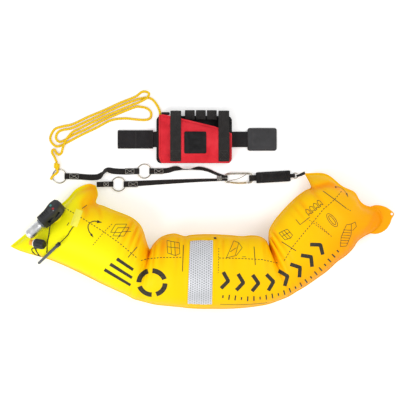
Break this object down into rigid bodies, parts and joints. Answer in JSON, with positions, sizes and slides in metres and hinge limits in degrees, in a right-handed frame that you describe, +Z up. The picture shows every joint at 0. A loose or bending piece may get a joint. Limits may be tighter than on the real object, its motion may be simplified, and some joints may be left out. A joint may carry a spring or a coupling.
{
  "type": "open water swim buoy",
  "caption": "Inflatable yellow swim rescue buoy laid flat, with gas inflator, oral valve, ringed webbing leash, spring hook, tow rope and a red hip pouch on a waist belt.",
  "frame": {"origin": "middle of the flat strip under the bladder's middle chamber, on the ground", "axes": "+X along the buoy towards the tip with the tab, +Y across it towards the leash and the pouch, +Z up out of the ground"},
  "size_m": [0.9299, 0.53, 0.1477],
  "materials": {
    "skin": "satin",
    "pale_skin": "satin",
    "orange_skin": "satin",
    "silver_patch": "reflective",
    "dark_plastic": "satin",
    "black_plastic": "satin",
    "grey_plastic": "satin",
    "white_plastic": "satin",
    "green_window": "gloss",
    "red_window": "gloss",
    "black_rubber": "matte",
    "black_cord": "matte",
    "black_fabric": "matte",
    "black_mesh": "matte",
    "webbing": "matte",
    "pad": "satin",
    "red_fabric": "matte",
    "steel": "polished",
    "brass": "polished",
    "rope": "matte"
  },
  "bodies": {
    "buoy": {"bladder": "skin", "inflator_flange": "skin", "valve_base": "skin", "tip_tab": "skin", "tether_pocket": "pale_skin", "oral_tube": "orange_skin", "reflective_patch": "silver_patch", "inflator_body": "dark_plastic", "fold_stud": "black_plastic", "pull_bar_cap": "black_plastic", "cartridge_collar": "grey_plastic", "pull_bar": "grey_plastic", "valve_body": "white_plastic", "status_window": "green_window", "fired_window": "red_window", "cartridge_seal": "black_rubber", "cap_tether": "black_rubber", "pouch_label": "black_rubber", "trigger_cord": "black_cord", "bar_tether": "black_cord", "sleeve_cover": "black_fabric", "pouch_back_panel": "black_fabric", "mouth_collar": "black_fabric", "side_mesh": "black_mesh", "ear_strap_left": "webbing", "ear_strap_right": "webbing", "leash_strap_lower": "webbing", "leash_strap_upper": "webbing", "leash_strap_end": "webbing", "sleeve_webbing": "webbing", "closure_strap_left": "webbing", "closure_strap_right": "webbing", "back_loop_1": "webbing", "back_loop_2": "webbing", "back_loop_3": "webbing", "belt_keeper_left": "webbing", "belt_keeper_right": "webbing", "pouch_body": "red_fabric", "lever_pin": "steel", "hook_body": "steel", "gate_pin": "steel", "hook_keeper": "steel", "d_ring": "steel", "tow_rope": "rope", "rope_knot": "rope"},
    "lever": {"release_lever": "black_plastic"},
    "pin": {"piercing_pin": "steel"},
    "cartridge": {"co2_cartridge": "steel"},
    "cap": {"valve_cap": "black_plastic"},
    "stem": {"valve_stem": "grey_plastic"},
    "gate": {"hook_gate": "brass"},
    "ring_1": {"leash_ring_1": "steel"},
    "ring_2": {"leash_ring_2": "steel"},
    "ring_3": {"leash_ring_3": "steel"},
    "belt": {"waist_belt": "webbing", "belt_folded_end": "webbing", "hook_pad": "pad"}
  },
  "joints": [
    {"name": "lever_pull", "type": "hinge", "parent": "buoy", "child": "lever", "pos_m": [-0.3409, 0.1359, 0.1054], "axis": [-0.3988, 0.5276, 0.7501], "range_deg": [0, 75]},
    {"name": "pin_strike", "type": "slide", "parent": "buoy", "child": "pin", "axis": [-0.7303, -0.6774, 0.0882], "range_m": [0, 0.0055]},
    {"name": "cartridge_turn", "type": "hinge", "parent": "buoy", "child": "cartridge", "pos_m": [-0.4091, 0.0819, 0.1071], "axis": [0.7303, 0.6774, -0.0882], "continuous": true},
    {"name": "cap_pull", "type": "slide", "parent": "buoy", "child": "cap", "axis": [0.8685, -0.1356, 0.4768], "range_m": [0, 0.016]},
    {"name": "stem_press", "type": "slide", "parent": "buoy", "child": "stem", "axis": [-0.8685, 0.1356, -0.4768], "range_m": [0, 0.003], "stiffness_N_per_m": 300, "springref_m": -0.002},
    {"name": "gate_open", "type": "hinge", "parent": "buoy", "child": "gate", "pos_m": [0.1105, 0.2107, 0.0054], "axis": [0, 0, -1], "range_deg": [0, 25], "stiffness_Nm_per_rad": 0.05, "springref_deg": -11.46},
    {"name": "ring_1_turn", "type": "hinge", "parent": "buoy", "child": "ring_1", "pos_m": [-0.1996, 0.2069, 0.003], "axis": [0, 0, 1], "continuous": true},
    {"name": "ring_2_turn", "type": "hinge", "parent": "buoy", "child": "ring_2", "pos_m": [-0.1366, 0.2387, 0.003], "axis": [0, 0, 1], "continuous": true},
    {"name": "ring_3_turn", "type": "hinge", "parent": "buoy", "child": "ring_3", "pos_m": [-0.3444, 0.2265, 0.003], "axis": [0, 0, 1], "continuous": true},
    {"name": "belt_slide", "type": "slide", "parent": "buoy", "child": "belt", "axis": [1, 0, 0], "range_m": [-0.03, 0.007]}
  ],
  "couplings": [
    {"joint": "lever_pull", "follows": "pin_strike", "rad_per_m": 237.99}
  ]
}
